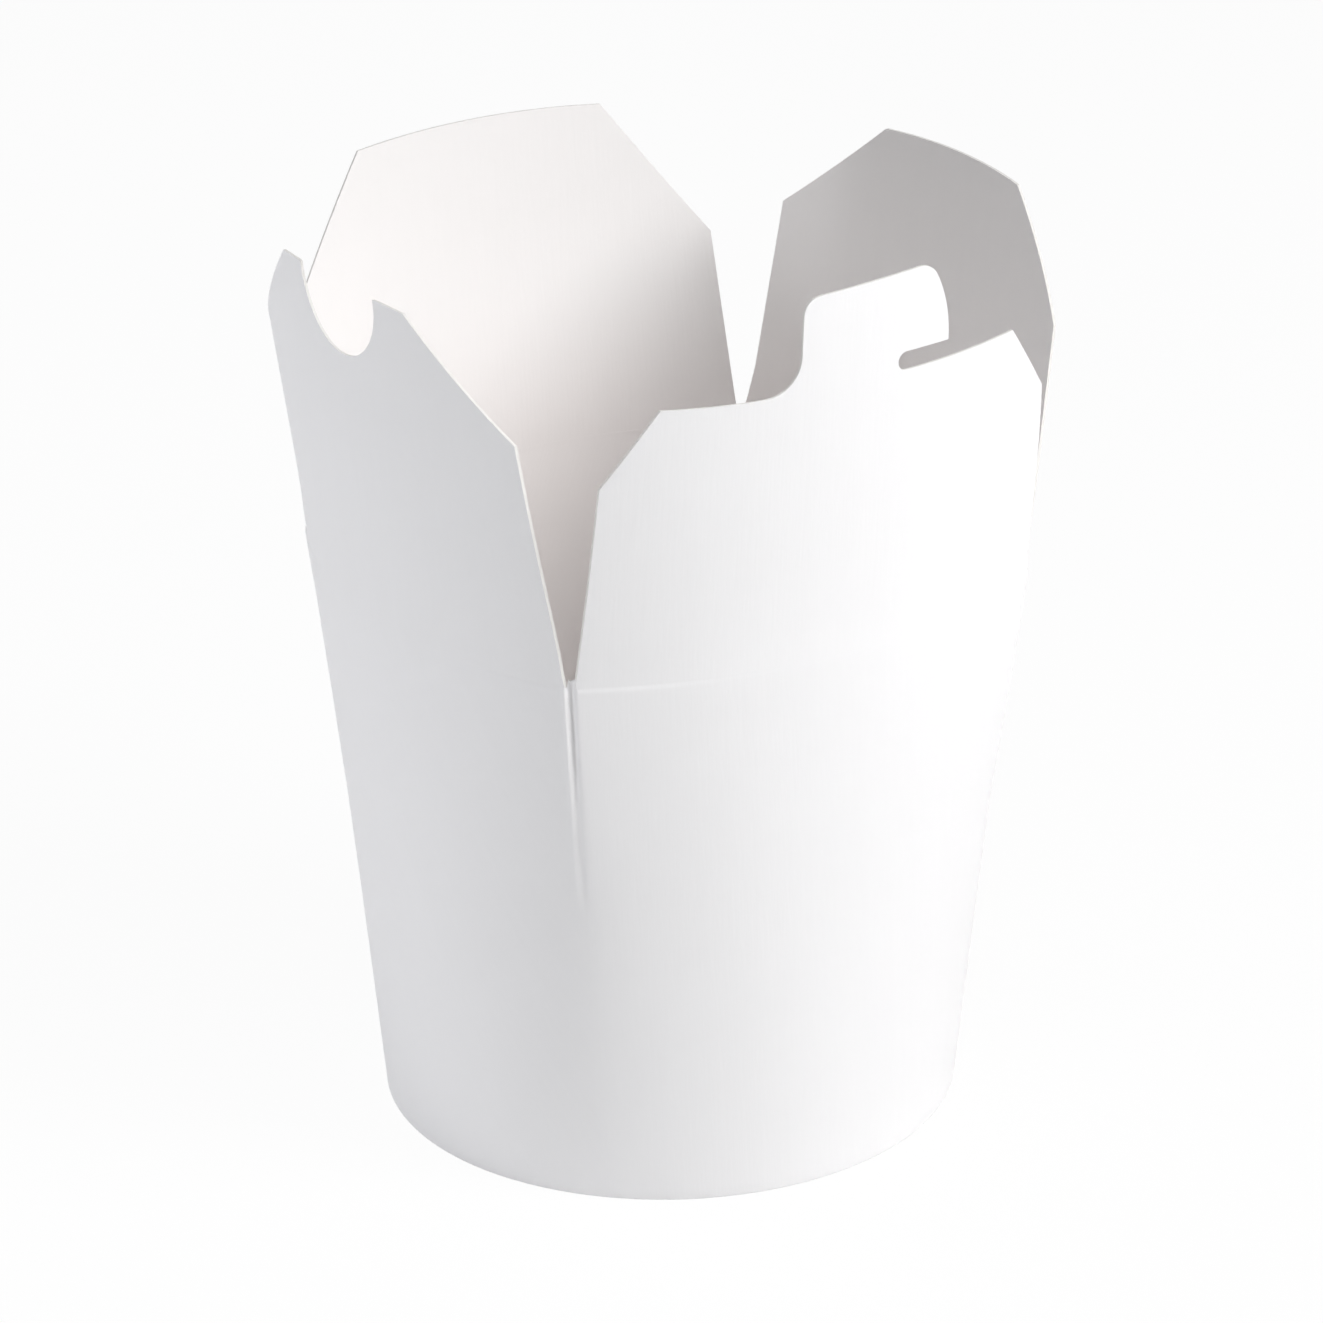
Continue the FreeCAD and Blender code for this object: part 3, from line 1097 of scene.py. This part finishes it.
@dataclass(frozen=True)
class StageFinish:
    """The pale floor: a white sweep that keeps a soft shadow."""

    name: str = "pale_floor"
    colour: tuple = (0.88, 0.88, 0.88)
    own_light: float = 0.95

    def material(self) -> bpy.types.Material:
        """Makes the material: mostly its own white to the camera, plain diffuse to the object.

        Returns:
            The material.
        """
        material = bpy.data.materials.new(self.name)
        graph = Graph(material)
        path = graph.shown_white()
        diffuse = graph.node("ShaderNodeBsdfDiffuse", {}, {"Color": (*self.colour, 1)})
        white = graph.node("ShaderNodeEmission", {}, {"Color": (1, 1, 1, 1), "Strength": 1.0})
        inputs = {0: path * self.own_light, 1: diffuse, 2: white}
        shader = graph.node("ShaderNodeMixShader", {}, inputs)
        graph.node("ShaderNodeOutputMaterial", {}, {"Surface": shader})
        return material


@dataclass
class TakeoutBox:
    """The whole box: builds, dresses and places every piece."""

    form: CartonForm = CartonForm()
    front_rear_lean: float = math.radians(7.6)
    left_right_lean: float = math.radians(8.3)
    fold_zone: float = 0.006

    def flaps(self) -> dict[str, FlapSheet]:
        """The four flaps.

        Returns:
            Each flap, by the CAD node that it stands for.
        """
        form, front_rear, left_right = self.form, self.front_rear_lean, self.left_right_lean
        return {
            "hook_flap": HookFlap(
                form, "box_hook_flap", Side.FRONT, front_rear, root_half=42.5, shoulder_half=41.2,
                shoulder_height=34.2, top_half=32.4, top_height=45.9, edge_hollow=0.1,
            ),
            "right_flap": FlapSheet(
                form, "box_right_flap", Side.RIGHT, left_right, root_half=42.0, shoulder_half=39.7,
                edge_hollow=0.0, aside=-1.0,
            ),
            "rear_flap": FlapSheet(
                form, "box_rear_flap", Side.REAR, front_rear, root_half=42.5, shoulder_half=40.7,
                shoulder_height=34.4, top_half=23.6, top_height=58.35, top_bow=0.9,
                edge_hollow=0.0,
            ),
            "notch_flap": NotchFlap(form, "box_notch_flap", Side.LEFT, left_right),
        }

    def dress(self, item: bpy.types.Object, node: str, finishes: tuple) -> None:
        """Gives a piece its finishes, hides the CAD node that it stands for and logs them.

        Args:
            item: the piece.
            node: the CAD node that it stands for.
            finishes: its materials, in the order of the faces' numbers.
        """
        for finish in finishes:
            item.data.materials.append(finish)
        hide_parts(node)
        log.info("%s stands for %s, %d faces", item.name, node, len(item.data.polygons))

    def build(self) -> None:
        """Builds all pieces, gives them their finishes and ties the wall and the base disc to the
        carton's body.
        """
        outside = BoardFinish(
            "board_outside", (0.875, 0.868, 0.87), (0.835, 0.828, 0.832),
        ).material()
        # The inside's low colour is painted shade, darker and warmer towards the foot of the box.
        inside = BoardFinish(
            "board_inside", (0.944, 0.926, 0.917), (0.91, 0.892, 0.883), roughness=0.48,
            specular=0.4, coat=0.06, painted_shade_colour=(0.88, 0.838, 0.822),
        ).material()
        base = BoardFinish("base_board", (0.91, 0.9, 0.895), (0.87, 0.86, 0.855)).material()
        edge = BoardFinish(
            "cut_edge", (0.84, 0.825, 0.8), (0.76, 0.745, 0.72), roughness=0.8, coat=0.0,
            grain_depth=0.00008,
        ).material()

        for item, node, finishes, slot in (
            (Wall(self.form).build(), "side_wall", (outside, inside), "board"),
            (BaseDisc(self.form).build(), "base_disc", (base,), "base_board"),
        ):
            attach(item, "carton")
            self.dress(item, node, finishes)

        for node, flap in self.flaps().items():
            item = flap.build()
            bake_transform(item)
            self.dress(item, node, (outside, inside, edge))


@dataclass(frozen=True)
class Lamp:
    """One soft round lamp that points at the box's middle.

    Its heading is in degrees from -Y towards +X and its rise in degrees. Its level
    is the share of full white that it gives to a white surface that faces it.
    """

    name: str
    heading: float
    rise: float
    distance: float
    size: float
    level: float
    colour: tuple = (1.0, 1.0, 1.0)

    def add(self, target: tuple) -> None:
        """Adds the lamp to the scene, facing the target.

        Formula: a lamp of P watts gives P over pi squared and the squared
        distance, as a share of full white.

        Args:
            target: the point that the lamp faces.
        """
        heading, rise = math.radians(self.heading), math.radians(self.rise)
        place = np.array(target) + self.distance * np.array([
            math.sin(heading) * math.cos(rise), -math.cos(heading) * math.cos(rise), math.sin(rise),
        ])
        data = bpy.data.lights.new(self.name, "AREA")
        data.shape = "DISK"
        data.size = self.size
        data.energy = self.level * math.pi ** 2 * self.distance ** 2
        data.color = self.colour
        back = (place - target) / np.linalg.norm(place - target)
        right = np.cross([0, 0, 1], back)
        right = right / np.linalg.norm(right)
        item = add_object(self.name, data)
        item.matrix_world = placed(right, np.cross(back, right), back, place)


def placed(right: Array, up: Array, back: Array, place: Array) -> Matrix:
    """The matrix with the given X, Y and Z axes and place."""
    return Matrix(np.vstack([joined(right, up, back, place), [0, 0, 0, 1]]).tolist())


@dataclass
class Studio:
    """The floor, the lamps, the surrounding light and the camera."""

    target: tuple = (0.0, 0.0, 0.08)
    camera_place: tuple = (-0.40917, -0.65919, 0.40149)
    camera_heading: float = -31.8035
    camera_pitch: float = -22.8415
    camera_roll: float = -0.9975
    lens: float = 138.254
    sensor: float = 36.0
    world_level: float = 0.03
    world_colour: tuple = (0.84, 0.9, 1.0)
    floor_size: float = 8.0

    def add_camera(self) -> None:
        """Places the camera where the photograph was taken from.

        Formula: the heading turns the view from +Y about Z, the pitch tips it and
        the roll turns it about its own axis.
        """
        heading, pitch, roll = map(
            math.radians, (self.camera_heading, self.camera_pitch, self.camera_roll)
        )
        forward = np.array([
            -math.sin(heading) * math.cos(pitch),
            math.cos(heading) * math.cos(pitch),
            math.sin(pitch),
        ])
        level = np.array([math.cos(heading), math.sin(heading), 0.0])
        upward = np.cross(level, forward)
        right = math.cos(roll) * level + math.sin(roll) * upward
        up = math.cos(roll) * upward - math.sin(roll) * level
        data = bpy.data.cameras.new("camera")
        data.lens = self.lens
        data.sensor_width = self.sensor
        data.clip_start = 0.01
        item = add_object("camera", data)
        item.matrix_world = placed(right, up, -forward, self.camera_place)
        bpy.context.scene.camera = item

    def add_floor(self) -> None:
        """Adds the floor, just under the box's foot."""
        half = self.floor_size / 2
        mesh = bpy.data.meshes.new("floor")
        corners = [(-half, -half, 0), (half, -half, 0), (half, half, 0), (-half, half, 0)]
        mesh.from_pydata(corners, [], [(0, 1, 2, 3)])
        mesh.materials.append(StageFinish().material())
        item = add_object("floor", mesh)

    def add_world(self) -> None:
        """Adds the surrounding light: white where it is seen, and a plain level where it lights."""
        world = bpy.data.worlds.new("surround")
        bpy.context.scene.world = world
        graph = Graph(world)
        path = graph.shown_white()
        strength = self.world_level + (1 - self.world_level) * path
        colour = graph.mix(path, (*self.world_colour, 1), (1, 1, 1, 1))
        light = graph.node("ShaderNodeBackground", {}, {"Color": colour, "Strength": strength})
        graph.node("ShaderNodeOutputWorld", {}, {"Surface": light})

    def build(self) -> None:
        """Adds everything that isn't the box."""
        self.add_camera()
        self.add_floor()
        self.add_world()
        # Each lamp's name, heading, rise, distance, size, level and colour.
        for lamp in (
            Lamp("key", 35, 35, 1.4, 0.65, 0.7),
            Lamp("near_key", 17, 35, 0.8, 0.4, 0.25),
            Lamp("low_left", -100, -6.5, 0.35, 0.07, 0.215, COOL_WHITE),
            Lamp("rear_left", -138, 38, 1.4, 0.6, 0.18, COOL_WHITE),
            Lamp("high_left", -70, 50, 1.4, 0.6, 0.1, COOL_WHITE),
            Lamp("top", -30, 75, 1.4, 0.8, 0.15),
        ):
            lamp.add(self.target)
        bpy.context.scene.view_settings.view_transform = "Standard"


def main() -> None:
    """Builds the box and the studio."""
    logging.basicConfig(level=logging.INFO, format="%(name)s: %(message)s")
    TakeoutBox().build()
    Studio().build()
    bpy.context.view_layer.update()


if __name__ == "__main__":
    main()
